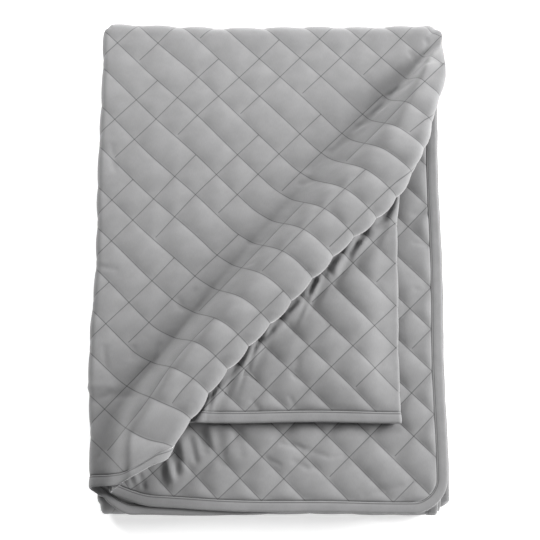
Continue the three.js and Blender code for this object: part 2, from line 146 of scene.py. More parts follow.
# Where the flap comes out from under the rim it has a ridge along the rim, and short leaning folds
STRIP_RIDGE = 4.0
STRIP_MIDDLE = 9.0
STRIP_HALF = 8.0
RIM_FOLD_LEAN = 2.5
RIM_FOLD_REACH = 24.0
RIM_FOLDS = (
    # along the rim, half width, rise
    (70.0, 11.0, 2.2),
    (84.0, 8.0, -1.6),
    (96.0, 11.0, 2.4),
    (135.0, 14.0, -2.0),
    (172.0, 13.0, 2.6),
    (189.0, 9.0, -2.0),
    (206.0, 12.0, 2.6),
    (240.0, 16.0, -1.4),
    (326.0, 12.0, -2.6),
    (341.0, 10.0, 2.6),
    (364.0, 12.0, -2.8),
    (400.0, 13.0, 3.0),
    (428.0, 12.0, -2.4),
    (455.0, 14.0, 2.0),
    (500.0, 16.0, -2.0),
    (535.0, 13.0, 2.2),
    (570.0, 14.0, -2.2),
    (605.0, 13.0, 2.0),
)

# Beyond the rim the flap is a soft pillow, and its front edge lifts beside the rim
PILLOW_LIFT = 3.0
PILLOW_RISE = 16.0
PILLOW_CLIMB = (10.0, 175.0)
PILLOW_FRONT = 85.0
PILLOW_RIGHT = 62.0
FRONT_LIFT = 8.0
FRONT_LIFT_REACH = 110.0
FRONT_LIFT_DEPTH = 80.0

# The pile is pressed thinner towards its far folds
FAR_PRESS = 0.10
FAR_PRESS_REACH = 150.0

# Uneven edges
SIDE_BULGE = 5.0
SIDE_BULGE_FROM = 60.0
SIDE_BULGE_LENGTH = 420.0
SIDE_WAVE = 1.2
SIDE_WAVE_LENGTH = 330.0
FAR_CORNER = 7.0
FRONT_WAVE = 1.2
FRONT_WAVE_LENGTH = 290.0

# How much of the base shows beside the flap and in front of it
BASE_SIDE_SHOWN = 130.0
BASE_FRONT_SHOWN = 170.0

# Steps of the mesh in one quilting cell
LATTICE = 20
FINE = 10
MIDDLING = 5
COARSE = 1


def smoothstep(value, low, high):
    share = np.clip((value - low) / (high - low), 0.0, 1.0)
    return share * share * (3.0 - 2.0 * share)


# The pleat slants at 45 degrees: distances across it, to the near right, and along it, to the far right.
def across(x, y):
    return (x - y) / math.sqrt(2)


def along(x, y):
    return (x + y) / math.sqrt(2)


# Lays the plies end to end: where each starts, its direction and the turn that follows it.
def lay_out_plies():
    laid = []
    start = 0.0
    for k, (level, x_from, x_to) in enumerate(PLIES):
        end = start + abs(x_to - x_from)
        climb = (PLIES[k + 1][0] - level) * PLY_PITCH if k + 1 < len(PLIES) else 0.0
        radius = abs(climb) / 2
        laid.append(SimpleNamespace(
            height=level * PLY_PITCH, x_from=x_from, x_to=x_to, start=start, end=end,
            climb=climb, radius=radius, turn_end=end + math.pi * radius,
            direction=math.copysign(1.0, x_to - x_from),
        ))
        start = laid[-1].turn_end
    return laid


LAID = lay_out_plies()
BASE, FLAP_BACK, FLAP, BOTTOM = LAID
WIDTH = BOTTOM.end
FOLD_REACH = FOLD_RADIUS + TOP_LEVEL
FOLD_LENGTH = math.pi * FOLD_REACH
FAR_FOLD_END = FAR_FOLD_Y + FOLD_LENGTH
FRONT_FOLD_START = FAR_FOLD_END + FAR_FOLD_Y - FRONT_FOLD_Y

# How far the folded pile reaches, and its middle, which is the origin
LEFT_REACH = FLAP.x_to - FLAP.radius - PLAIN_HALF
RIGHT_REACH = FLAP_BACK.x_to + FLAP_BACK.radius + PLAIN_HALF
FRONT_REACH = FRONT_FOLD_Y - FOLD_REACH - PLAIN_HALF
FAR_REACH = FAR_FOLD_Y + FOLD_REACH + PLAIN_HALF
MIDDLE_X = (LEFT_REACH + RIGHT_REACH) / 2
MIDDLE_Y = (FRONT_REACH + FAR_REACH) / 2


# Section across the width: u along the cloth, h off its middle, to x and height within the plies.
def width_path(u, h):
    x = np.empty_like(u)
    z = np.empty_like(u)
    for ply in LAID:
        last = ply is BOTTOM
        flat = (u >= ply.start) & ((u <= ply.end) | last)
        x[flat] = ply.x_from + ply.direction * (u[flat] - ply.start)
        z[flat] = ply.height - ply.direction * h[flat]
        turn = (u > ply.end) & (u <= ply.turn_end) & (not last)
        if not turn.any():
            continue
        angle = (u[turn] - ply.end) / ply.radius
        up = math.copysign(1.0, ply.climb)
        swing = np.sin(angle)
        lift = np.cos(angle)
        x[turn] = ply.x_to + ply.direction * ply.radius * swing + up * swing * h[turn]
        z[turn] = ply.height + ply.climb / 2 - up * ply.radius * lift - ply.direction * lift * h[turn]
    return x, z


# How far back the plies lie, from the front edge of the base.
def set_back(u):
    first_turn = (BASE.end + BASE.turn_end) / 2
    last_turn = (FLAP.end + FLAP.turn_end) / 2
    onto = smoothstep(u, first_turn - SET_BACK_BLEND, first_turn + SET_BACK_BLEND)
    off = smoothstep(u, last_turn - SET_BACK_LEAD, last_turn + SET_BACK_BLEND)
    skew = BASE_SKEW * smoothstep(u / BASE.end, BASE_SKEW_FROM, 1.0) * (1.0 - onto)
    lead = BOTTOM_LEAD * off * (1.0 - smoothstep(u - last_turn, *BOTTOM_LEAD_FADE))
    forward = FLAP_FORWARD * (1.0 - smoothstep(FLAP.end - u, *FLAP_FORWARD_REACH)) * (1.0 - off)
    return skew + FLAP_SET_BACK * (onto - off) - forward - lead


# A smooth curve through one column of the pleat's rows.
def pleat_column(column, t):
    rows = PLEAT_ROWS[:, ALONG]
    values = PLEAT_ROWS[:, column]
    last = len(rows) - 1
    after = np.minimum(np.arange(last + 1) + 1, last)
    before = np.maximum(np.arange(last + 1) - 1, 0)
    slopes = (values[after] - values[before]) / (rows[after] - rows[before])
    k = np.clip(np.searchsorted(rows, t, side="right") - 1, 0, last - 1)
    span = rows[k + 1] - rows[k]
    share = np.clip((t - rows[k]) / span, 0.0, 1.0)
    rest = 1.0 - share
    blend = share * share * (3.0 - 2.0 * share)
    curve = slopes[k] * span * share * rest ** 2 - slopes[k + 1] * span * share * share * rest
    return values[k] + (values[k + 1] - values[k]) * blend + curve


# The pleat's stations across itself, in flat distances: foot, slope's head, crest and the turns.
def pleat_stations(t):
    foot = pleat_column(FOOT, t)
    rim, gather = (pleat_column(column, t + PLEAT_DRAG) for column in (RIM, GATHER))
    take_up = SLOPE_TAKE_UP * gather
    tuck = gather - take_up / 2
    crest = rim - CREST_RADIUS - SLAB_REACH
    under = crest + math.pi * CREST_RADIUS
    nose = under + tuck
    head = crest - tuck - NOSE_RADIUS - SLAB_REACH - SLOPE_CLEAR
    over = nose + math.pi * NOSE_RADIUS
    return SimpleNamespace(
        rim=rim, foot=foot, head=head, crest=crest, under=under, nose=nose, over=over, take_up=take_up,
    )


# Where a change across the pleat starts and ends: as given well inside, and close to the crest near the
# front edge.
def late_at_front(y, at, inside, past_crest):
    inner = smoothstep(y - FLAP_SET_BACK, 0.0, FRONT_LATE_REACH)
    late = [at.crest + distance for distance in past_crest]
    return [edge + (usual - edge) * inner for edge, usual in zip(late, inside)]


# The slope is longer than the ground under it, so it takes up cloth on its way to the crest.
def taken_up(x, y, at):
    s = across(x, y)
    span = late_at_front(y, at, (at.foot, at.head + at.take_up), FRONT_TAKE_UP)
    return s - at.take_up * smoothstep(s, *span) * smoothstep(x, *LEFT_FADE)


# The slope runs out at the flap's left side and towards the far fold.
def slope_fade(x, y):
    return smoothstep(x, *LEFT_FADE) * smoothstep(FAR_FOLD_Y - y, 0.0, FAR_FADE)


# Ridge and leaning folds of the flap close beside the rim.
def rim_folds(beyond_rim, t):
    rise = STRIP_RIDGE * np.exp(-((beyond_rim - STRIP_MIDDLE) / STRIP_HALF) ** 2)
    near = np.exp(-(beyond_rim / RIM_FOLD_REACH) ** 2)
    for middle, half_width, height in RIM_FOLDS:
        rise += height * near * np.exp(-((t + RIM_FOLD_LEAN * beyond_rim - middle) / half_width) ** 2)
    return rise


# Rise of the flap beyond the rim: a pillow away from its right fold and its front edge, and the lift of
# that edge.
def pillow(beyond_rim, x, y):
    from_front = y - FLAP_SET_BACK
    inside = smoothstep(FLAP_BACK.x_to - x, 0.0, PILLOW_RIGHT) * smoothstep(from_front, 0.0, PILLOW_FRONT)
    beside_rim = smoothstep(beyond_rim, 0.0, STRIP_HALF)
    beside_rim = beside_rim * (1.0 - smoothstep(beyond_rim, 0.0, FRONT_LIFT_REACH))
    front = FRONT_LIFT * beside_rim * (1.0 - smoothstep(from_front, 0.0, FRONT_LIFT_DEPTH))
    return PILLOW_LIFT + front + PILLOW_RISE * smoothstep(beyond_rim, *PILLOW_CLIMB) * inside


# Folds the flap's two plies, as one slab, through the slanting pleat. The rim is dragged along itself.
def pleat(x, y, z):
    t = along(x, y)
    at = pleat_stations(t)
    s = taken_up(x, y, at)
    off = z - SLAB_MIDDLE
    tucked_end = at.crest - (at.nose - at.under)
    climb = np.sin(np.clip((s - at.foot) / (at.head - at.foot), 0.0, 1.0) * math.pi / 2) ** SLOPE_POWER
    dome = SLOPE_DOME * np.sin(np.clip((s - at.foot) / (at.crest - at.foot), 0.0, 1.0) * math.pi) ** 2
    fade = slope_fade(x, y)
    crest_angle = (s - at.crest) / CREST_RADIUS
    nose_angle = (s - at.nose) / NOSE_RADIUS
    still = np.zeros_like(s)
    flat = np.ones_like(s)
    zones = (s < at.crest, s < at.under, s < at.nose, s < at.over)
    lean_s = np.select(zones, (still, np.sin(crest_angle), still, np.sin(nose_angle)), still)
    lean_z = np.select(zones, (flat, np.cos(crest_angle), -flat, -np.cos(nose_angle)), flat)
    folded_s = np.select(zones, (
        s,
        at.crest + CREST_RADIUS * lean_s,
        at.crest - (s - at.under),
        tucked_end - NOSE_RADIUS * lean_s,
    ), tucked_end + (s - at.over))
    beyond_rim = folded_s - at.rim
    swell = pillow(beyond_rim, x, y) + rim_folds(beyond_rim, t)
    height = np.select(zones, (
        (PLEAT_RISE * climb + dome) * fade,
        PLEAT_RISE - CREST_RADIUS * (1.0 - lean_z),
        2 * NOSE_RADIUS * flat,
        NOSE_RADIUS * (1.0 - lean_z),
    ), swell * smoothstep(s, at.over, at.over + STRIP_HALF))
    folded_s = folded_s + off * lean_s
    drag_span = late_at_front(y, at, (at.foot - DRAG_LEAD, at.head + DRAG_FULL), FRONT_DRAG)
    dragged = smoothstep(s, *drag_span) * (1.0 - smoothstep(s, at.under, at.over))
    dragged = dragged * smoothstep(FAR_FOLD_Y - y, *DRAG_FAR_FADE)
    t = t + PLEAT_DRAG * dragged * fade
    root_two = math.sqrt(2)
    return (folded_s + t) / root_two, (t - folded_s) / root_two, SLAB_MIDDLE + height + off * lean_z


# Section along the length: the plies run back, under, forward, under and back again.
def length_path(y, z):
    middle = PLAIN_HALF + 2 * (TOP_LEVEL + FOLD_RADIUS)
    top = middle + 2 * FOLD_RADIUS
    zones = (y <= FAR_FOLD_Y, y <= FAR_FOLD_END, y <= FRONT_FOLD_START)
    far_angle = (y - FAR_FOLD_Y) / FOLD_REACH
    far_radius = FOLD_RADIUS + z
    front_angle = np.minimum((y - FRONT_FOLD_START) / FOLD_REACH, math.pi)
    front_radius = FOLD_RADIUS + TOP_LEVEL - z
    beyond = np.maximum(y - FRONT_FOLD_START - FOLD_LENGTH, 0.0)
    front_centre = middle - TOP_LEVEL - FOLD_RADIUS
    folded_y = np.select(zones, (
        y,
        FAR_FOLD_Y + far_radius * np.sin(far_angle),
        FAR_FOLD_Y - (y - FAR_FOLD_END),
    ), FRONT_FOLD_Y - front_radius * np.sin(front_angle) + beyond)
    folded_z = np.select(zones, (
        top + z,
        middle + FOLD_RADIUS + far_radius * np.cos(far_angle),
        middle - z,
    ), front_centre + front_radius * np.cos(front_angle))
    return folded_y, folded_z


# Bends a square corner to a quarter circle: a and b are the distances from its two sides.
def bend_corner(a, b, radius):
    from_a = radius - a
    from_b = radius - b
    inside = (from_a > 0) & (from_b > 0)
    reach = np.where(inside, np.maximum(from_a, from_b), 1.0)
    angle = math.pi / 4 * np.minimum(from_a, from_b) / reach
    large = radius - reach * np.cos(angle)
    small = radius - reach * np.sin(angle)
    a_first = from_a > from_b
    return (np.where(inside, np.where(a_first, large, small), a),
            np.where(inside, np.where(a_first, small, large), b))


# The cut cloth has round corners, and its binding keeps its width round them.
def round_cloth(u, w):
    a, b = bend_corner(np.minimum(u, WIDTH - u), np.minimum(w, LENGTH - w), CORNER_RADIUS)
    return np.where(u < WIDTH / 2, a, WIDTH - a), np.where(w < LENGTH / 2, b, LENGTH - b)


# The corners of the folded pile are soft too.
def round_pile(x, y):
    is_left = x < MIDDLE_X
    is_front = y < MIDDLE_Y
    radius = np.where(
        is_front,
        np.where(is_left, PILE_CORNERS["front_left"], PILE_CORNERS["front_right"]),
        np.where(is_left, PILE_CORNERS["far_left"], PILE_CORNERS["far_right"]),
    )
    a, b = bend_corner(
        np.where(is_left, x - LEFT_REACH, RIGHT_REACH - x),
        np.where(is_front, y - FRONT_REACH, FAR_REACH - y),
        radius,
    )
    return (np.where(is_left, LEFT_REACH + a, RIGHT_REACH - a),
            np.where(is_front, FRONT_REACH + b, FAR_REACH - b))


# The edges of the pile aren't quite straight: its sides sway, and its far corners stand out a little.
def sway(x, y):
    bulge_share = np.clip((y - SIDE_BULGE_FROM) / SIDE_BULGE_LENGTH, 0.0, 1.0)
    bulge = SIDE_BULGE * np.sin(math.pi * bulge_share) ** 2
    wave = SIDE_WAVE * np.sin(2 * math.pi * y / SIDE_WAVE_LENGTH)
    sideways = np.clip((x - MIDDLE_X) / (RIGHT_REACH - MIDDLE_X), -1.0, 1.0)
    corner = FAR_CORNER * sideways ** 2 * smoothstep(y, MIDDLE_Y, FAR_REACH)
    ripple = FRONT_WAVE * np.sin(2 * math.pi * x / FRONT_WAVE_LENGTH)
    return x - bulge * (RIGHT_REACH - x) / (RIGHT_REACH - LEFT_REACH) + wave, y + corner + ripple


# The place in metres of points of the cloth, h off its middle, in the folded pile.
def place(u, w, h):
    x, z = width_path(u, h)
    y = w + set_back(u)
    slab = (u >= FLAP_BACK.start) & (u <= FLAP.end)
    x[slab], y[slab], z[slab] = pleat(x[slab], y[slab], z[slab])
    x = x * (1.0 - LOWER_NARROWING * smoothstep(y, FAR_FOLD_Y, FAR_FOLD_END))
    y, z = length_path(y, z)
    z = z * (1.0 - FAR_PRESS * smoothstep(y, FAR_FOLD_Y - FAR_PRESS_REACH, FAR_FOLD_Y))
    x, y = sway(*round_pile(x, y))
    return np.column_stack((x - MIDDLE_X, y - MIDDLE_Y, np.maximum(z, 0.0))) * MM


# Distances to the nearest long stitch line and to the nearest short one in the same lane, and how full
# the puff between them is. The long lines run without a break. The short ones skip a cell here and there.
def stitch_distances(u, w):
    lane_place = ((u - SEAM) - (w - SEAM)) / (2 * QUILT_STEP)
    turn_place = ((u - SEAM) + (w - SEAM)) / (2 * QUILT_STEP)
    lane = np.floor(lane_place)
    below = np.floor(turn_place)

    def skipped(turn):
        return np.isin(np.mod(turn - 1 + QUILT_LANE_SHIFT * lane, QUILT_CYCLE), QUILT_SKIPS)

    above = below + 1 + skipped(below + 1)
    below = below - skipped(below)
    to_long = np.abs(lane_place - np.round(lane_place))
    to_short = np.minimum(turn_place - below, above - turn_place)
    by_lane, by_turn, by_both = PUFF_RHYTHM
    fullness = 1.0 + PUFF_SPREAD * np.sin(by_lane * lane + by_turn * below + by_both * lane * below)
    return to_long * QUILT_LANE, to_short * QUILT_LANE, fullness


# Height of the puffs, from nothing on a stitch line to about one between the lines.
def puff(u, w):
    to_long, to_short, fullness = stitch_distances(u, w)
    half_lane = QUILT_LANE / 2
    edge = np.minimum.reduce((u, WIDTH - u, w, LENGTH - w)) - SEAM
    rise = np.ones_like(u)
    for distance, reach in ((to_long, half_lane), (to_short, half_lane), (edge, EDGE_SOFT)):
        rise = rise * (1.0 - (1.0 - np.clip(distance / reach, 0.0, 1.0)) ** PUFF_POWER)
    return rise * fullness


# The main creases, as soft troughs or, with a negative depth, ridges.
CREASES = np.array((
    # u from, w from, u to, w to, half width, depth
    # the flap's left side
    (1740, 165, 1701, 165, 7.0, -2.0),
    (1728, 141, 1698, 150, 5.0, 2.2),
    (1698, 150, 1659, 141, 5.0, 1.8),
    (1719, 48, 1710, 60, 4.5, 1.6),
    (1710, 228, 1707, 198, 5.0, 1.4),
    (1737, 372, 1701, 363, 5.0, 1.4),
    (1713, 582, 1707, 540, 5.0, 1.2),
    # the foot of the pleat
    (1566, 315, 1572, 291, 4.5, 1.8),
    (1593, 303, 1587, 285, 4.5, 1.6),
    (1623, 225, 1629, 189, 4.5, 1.8),
    (1662, 228, 1665, 210, 4.5, 1.5),
    (1479, 393, 1461, 387, 4.0, 1.8),
    (1494, 345, 1473, 339, 4.0, 1.8),
    # the far half of that foot
    (1389, 498, 1371, 501, 4.5, 1.8),
    (1371, 525, 1338, 558, 6.0, 2.2),
    (1335, 555, 1311, 579, 5.0, 2.4),
    (1308, 582, 1290, 606, 5.0, 2.6),
    (1290, 603, 1270, 615, 4.5, 2.4),
    (1299, 591, 1278, 600, 5.5, -1.6),
    (1269, 615, 1248, 639, 5.0, 2.8),
    (1248, 636, 1233, 651, 4.5, 2.4),
    (1257, 621, 1239, 633, 5.5, -1.6),
    (1236, 660, 1212, 675, 5.0, 2.8),
    (1212, 672, 1191, 675, 4.5, 2.4),
    (1221, 654, 1200, 660, 5.5, -1.6),
    (1185, 696, 1152, 711, 5.0, 2.6),
    (1188, 744, 1164, 705, 5.0, 2.0),
    # under the rim
    (1212, 285, 1197, 303, 4.5, 3.0),
    (1245, 261, 1239, 237, 4.5, 3.2),
    (1269, 237, 1278, 216, 4.5, 3.2),
    (1314, 186, 1302, 201, 4.5, 3.0),
    (1356, 138, 1341, 153, 4.5, 2.6),
    (1159, 345, 1134, 354, 4.0, 2.0),
    (1164, 330, 1134, 339, 4.0, 2.0),
    (1302, 75, 1296, 102, 5.0, 1.6),
    (1311, 39, 1305, 27, 3.5, 1.6),
    (1374, 36, 1362, 21, 3.5, 1.6),
    # the far right corner
    (1161, 768, 1158, 750, 4.0, 2.2),
    (1158, 750, 1146, 762, 4.0, 2.0),
    (1191, 744, 1179, 723, 4.5, 1.8),
    # the base beside the flap's tip
    (522, 39, 516, 26, 3.5, 2.2),
    (508, 48, 500, 30, 4.0, 2.4),
    (471, 62, 468, 40, 5.0, 2.6),
    (462, 76, 453, 46, 5.5, -2.4),
    (452, 94, 446, 56, 5.5, 3.4),
    (438, 106, 434, 66, 6.0, -2.4),
    (424, 114, 416, 80, 6.0, 2.8),
    (405, 132, 401, 96, 8.0, 2.2),
    (390, 134, 387, 106, 7.0, -1.2),
    (377, 128, 373, 76, 8.5, 1.6),
    (358, 126, 361, 100, 7.0, -0.9),
    (347, 132, 340, 94, 8.0, 1.4),
    # the base's front
    (273, 111, 243, 105, 4.0, 1.5),
    (243, 105, 198, 90, 4.0, 1.5),
    (189, 90, 162, 93, 4.0, 1.3),
    (255, 84, 234, 72, 4.0, 1.4),
    (234, 72, 216, 72, 4.0, 1.2),
    (306, 90, 279, 78, 4.0, 1.3),
    (138, 27, 78, 45, 4.5, 1.4),
    # the base's right side
    (30, 381, 9, 375, 4.0, 1.4),
    (45, 375, 33, 372, 4.0, 1.2),
    (45, 456, 21, 453, 4.0, 1.4),
    (45, 507, 12, 507, 4.0, 1.3),
))


def crease(u, w):
    dip = np.zeros_like(u)
    for u_from, w_from, u_to, w_to, half_width, depth in CREASES:
        run_u, run_w = u_to - u_from, w_to - w_from
        share = ((u - u_from) * run_u + (w - w_from) * run_w) / (run_u ** 2 + run_w ** 2)
        share = np.clip(share, 0.0, 1.0)
        away = np.hypot(u - u_from - share * run_u, w - w_from - share * run_w)
        dip += depth * np.exp(-(away / half_width) ** 2)
    return dip


# Where points of the flat cloth come to lie before the pleat is folded, and their place across it.
def across_pleat(u, w):
    x = width_path(u, np.zeros_like(u))[0]
    y = w + set_back(u)
    at = pleat_stations(along(x, y))
    return x, y, taken_up(x, y, at), at


# Half thickness of the flap's puffs: those on the slope and beyond the rim are fuller.
def flap_puff(u, w):
    x, y, s, at = across_pleat(u, w)
    beyond = smoothstep(s, at.crest, at.under)
    climbing = smoothstep(s, at.foot, at.foot + QUILT_LANE / 2) * (1.0 - beyond) * slope_fade(x, y)
    fuller = (SLOPE_PUFF_HALF - FLAP_PUFF_HALF) * climbing
    return FLAP_PUFF_HALF + fuller + (BEYOND_RIM_PUFF_HALF - FLAP_PUFF_HALF) * beyond


# Half thickness of the panel on its velvet side, which is fuller where it shows.
def face_half(u, w):
    y = w + set_back(u)
    on_flap = smoothstep(u, FLAP.start - FOLD_SOFT / 4, FLAP.start + FOLD_SOFT)
    on_flap = on_flap * (1.0 - smoothstep(u, FLAP.end, FLAP.turn_end))
    on_flap = on_flap * (1.0 - smoothstep(y, FAR_FOLD_Y + FOLD_LENGTH / 2, FAR_FOLD_END))
    shown_side = 1.0 - smoothstep(u, BASE_SIDE_SHOWN - QUILT_STEP, BASE_SIDE_SHOWN)
    shown_front = 1.0 - smoothstep(w, BASE_FRONT_SHOWN - QUILT_STEP, BASE_FRONT_SHOWN)
    on_base = np.maximum(shown_side, shown_front)
    on_base = on_base * (1.0 - smoothstep(u, BASE.end - QUILT_STEP, BASE.end))
    on_base = on_base * (1.0 - smoothstep(y, FAR_FOLD_Y, FAR_FOLD_END))
    top = PLAIN_PUFF_HALF
    top = top + (flap_puff(u, w) - PLAIN_PUFF_HALF) * on_flap
    top = top + (BASE_PUFF_HALF - PLAIN_PUFF_HALF) * on_base
    return np.maximum(STITCH_HALF + (top - STITCH_HALF) * puff(u, w) - crease(u, w), THINNEST_HALF)


# Half thickness on its back.
def back_half(u, w):
    return STITCH_HALF + (PLAIN_PUFF_HALF - STITCH_HALF) * puff(u, w)


# The panel's cells along one side of the cloth: quilting steps between its two edges.
def cell_edges(size):
    edges = np.arange(SEAM, size - SEAM - QUILT_STEP / 2, QUILT_STEP)
    edges[0] = PANEL_EDGE
    return np.append(edges, size - PANEL_EDGE)


COLUMNS = cell_edges(WIDTH)
ROWS = cell_edges(LENGTH)


# Middles of the panel's cells.
def cell_middles():
    return np.meshgrid((COLUMNS[1:] + COLUMNS[:-1]) / 2, (ROWS[1:] + ROWS[:-1]) / 2, indexing="ij")


# Mesh steps of every cell, across and along, that the bends of the cloth need. They serve its back,
# which lies inside the pile and shows only at the edge of the loop on the left.
def bend_steps():
    u, w = cell_middles()
    _, y, s, at = across_pleat(u, w)
    half_step = QUILT_STEP / 2
    across_steps = np.full(u.shape, COARSE)
    along_steps = np.full(u.shape, COARSE)
    for fold_start in (FAR_FOLD_Y, FRONT_FOLD_START):
        near_fold = (y > fold_start - QUILT_STEP) & (y < fold_start + FOLD_LENGTH + QUILT_STEP)
        along_steps[near_fold] = MIDDLING
        for ply in LAID:
            near_end = (np.abs(u - ply.start) < 2 * QUILT_STEP) | (np.abs(u - ply.end) < 2 * QUILT_STEP)
            across_steps[near_fold & near_end] = MIDDLING
    in_pleat = (s > at.foot - QUILT_STEP) & (s < at.over + QUILT_STEP) & (y < FAR_FOLD_Y)
    in_pleat &= (u > FLAP_BACK.start) & (u < FLAP.end)
    across_steps[in_pleat] = MIDDLING
    along_steps[in_pleat] = MIDDLING
    for ply in (BASE, FLAP_BACK, FLAP):
        across_steps[(u > ply.end - half_step) & (u < ply.turn_end + half_step)] = MIDDLING
    loop_edge = (u > FLAP.end - QUILT_STEP) & (u < FLAP.turn_end + 4 * QUILT_STEP) & (w < 2 * QUILT_STEP)
    across_steps[loop_edge] = FINE
    along_steps[loop_edge] = MIDDLING
    return across_steps, along_steps


# Mesh steps of the velvet face, which are fine where it shows.
def face_steps():
    across_steps, along_steps = bend_steps()
    u, w = cell_middles()
    y = w + set_back(u)
    half_step = QUILT_STEP / 2
    on_flap = (u > FLAP_BACK.end - half_step) & (u < FLAP.turn_end + half_step) & (y < FAR_FOLD_END)
    on_side = (u < BASE_SIDE_SHOWN) & (y < FAR_FOLD_Y)
    on_front = (u < BASE.turn_end + half_step) & (w < BASE_FRONT_SHOWN)
    on_nose = (u > FLAP.end) & (np.abs(y - FRONT_FOLD_START - FOLD_LENGTH / 2) < FOLD_LENGTH)
    shown = on_flap | on_side | on_front | on_nose
    across_steps[shown] = FINE
    along_steps[shown] = FINE
    for ply in (BASE, FLAP_BACK, FLAP):
        turning = (u > ply.end - half_step) & (u < ply.turn_end + half_step)
        across_steps[turning] = FINE
        across_steps[turning & (y < FAR_FOLD_END) & (ply is FLAP_BACK)] = LATTICE
    return across_steps, along_steps


# Faces of one side of the panel on its lattice, as corners that turn from u to w. A cell takes on the
# corners that a finer neighbour has along their shared side.
def lattice_faces(across_steps, along_steps):
    columns, rows = across_steps.shape
    du = LATTICE // across_steps
    dw = LATTICE // along_steps
    faces = []
    for i in range(columns):
        for j in range(rows):
            step_u, step_w = du[i, j], dw[i, j]
            low = min(step_u, du[i, j - 1]) if j > 0 else step_u
            high = min(step_u, du[i, j + 1]) if j + 1 < rows else step_u
            left = min(step_w, dw[i - 1, j]) if i > 0 else step_w
            right = min(step_w, dw[i + 1, j]) if i + 1 < columns else step_w
            u0, w0 = i * LATTICE, j * LATTICE
            u1, w1 = u0 + LATTICE, w0 + LATTICE
            rises = (i + j) % 2 == 0
            for u in range(u0, u1, step_u):
                for w in range(w0, w1, step_w):
                    u_end, w_end = u + step_u, w + step_w
                    face = [(x, w) for x in range(u, u_end, low if w == w0 else step_u)]
                    face += [(u_end, y) for y in range(w, w_end, right if u_end == u1 else step_w)]
                    face += [(x, w_end) for x in range(u_end, u, -(high if w_end == w1 else step_u))]
                    face += [(u, y) for y in range(w_end, w, -(left if u == u0 else step_w))]
                    if len(face) > 4:
                        faces.append(face)
                    elif rises:
                        faces += [[face[0], face[1], face[2]], [face[0], face[2], face[3]]]
                    else:
                        faces += [[face[0], face[1], face[3]], [face[1], face[2], face[3]]]
    return faces


# The lattice points round the panel's edge, turning from u to w.
def lattice_border(used):
    last_u, last_w = used.shape[0] - 1, used.shape[1] - 1
    border = [(x, 0) for x in range(last_u)]
    border += [(last_u, y) for y in range(last_w)]
    border += [(x, last_w) for x in range(last_u, 0, -1)]
    border += [(0, y) for y in range(last_w, 0, -1)]
    return [point for point in border if used[point]]


# Which lattice points the faces use, and the numbers these get.
def number_points(faces, shape, first):
    used = np.zeros(shape, bool)
    corners = np.array([corner for face in faces for corner in face])
    used[corners[:, 0], corners[:, 1]] = True
    numbers = np.full(shape, -1)
    numbers[used] = np.arange(used.sum()) + first
    return used, numbers


# Where the used lattice points lie on the flat cloth.
def lattice_places(used):
    i, j = np.nonzero(used)
    ticks_u = np.arange(len(COLUMNS)) * LATTICE
    ticks_w = np.arange(len(ROWS)) * LATTICE
    return round_cloth(np.interp(i, ticks_u, COLUMNS), np.interp(j, ticks_w, ROWS))


# A smooth mesh object that carries values at its points for its material.
def new_piece(name, points, faces, values):
    mesh = bpy.data.meshes.new(name)
    mesh.from_pydata(points, [], faces)
    for key, data in values.items():
        kind, field = ("FLOAT_VECTOR", "vector") if data.ndim == 2 else ("FLOAT", "value")
        attribute = mesh.attributes.new(key, kind, "POINT")
        attribute.data.foreach_set(field, data.astype(np.float32).ravel())
    mesh.shade_smooth()
    mesh.validate()
    piece = bpy.data.objects.new(name, mesh)
    bpy.context.scene.collection.objects.link(piece)
    return piece


def flat_places(u, w):
    return np.column_stack((u, w, np.zeros_like(u))) * MM


def make_panel():
    shape = ((len(COLUMNS) - 1) * LATTICE + 1, (len(ROWS) - 1) * LATTICE + 1)
    face_side = lattice_faces(*face_steps())
    back_side = lattice_faces(*bend_steps())
    face_used, face_numbers = number_points(face_side, shape, 0)
    back_used, back_numbers = number_points(back_side, shape, face_used.sum())
    faces = [[face_numbers[corner] for corner in reversed(face)] for face in face_side]
    faces += [[back_numbers[corner] for corner in face] for face in back_side]
    # The panel's edge joins the two sides: the face has more points there than the back.
    border = lattice_border(face_used)
    stops = [k for k, point in enumerate(border) if back_used[point]] + [len(border)]
    for start, stop in zip(stops, stops[1:]):
        run = [border[k % len(border)] for k in range(start, stop + 1)]
        back_pair = [back_numbers[run[-1]], back_numbers[run[0]]]
        faces.append(back_pair + [face_numbers[point] for point in run])
    u, w = lattice_places(face_used)
    back_u, back_w = lattice_places(back_used)
    points = np.vstack((place(u, w, face_half(u, w)), place(back_u, back_w, -back_half(back_u, back_w))))
    all_u = np.append(u, back_u)
    all_w = np.append(w, back_w)
    # Distances to the stitch lines, which drive the painted shade along them in the material
    to_long, to_short, _ = stitch_distances(all_u, all_w)
    return new_piece("quilted_velvet_panel", points, faces, {
        "flat": flat_places(all_u, all_w),
        "long_stitch": to_long * MM,
        "short_stitch": to_short * MM,
    })


# The binding: a folded strip with a rolled outer edge and a row of stitches near its inner edge
BINDING_STITCH = 15.4
BINDING_PROFILE = (
    # distance from the cloth's edge, half thickness
    (0.0, 0.0),
    (0.4, 1.2),
    (1.6, 2.1),
    (4.5, 2.5),
    (10.0, 2.5),
    (13.8, 2.2),
    (BINDING_STITCH, 1.6),
    (16.6, 1.9),
    (17.5, 1.7),
    (BINDING_WIDTH, 1.0),
)
TURN_SPACING = 1.5
SHOWN_SPACING = 4.0
HIDDEN_SPACING = 12.0


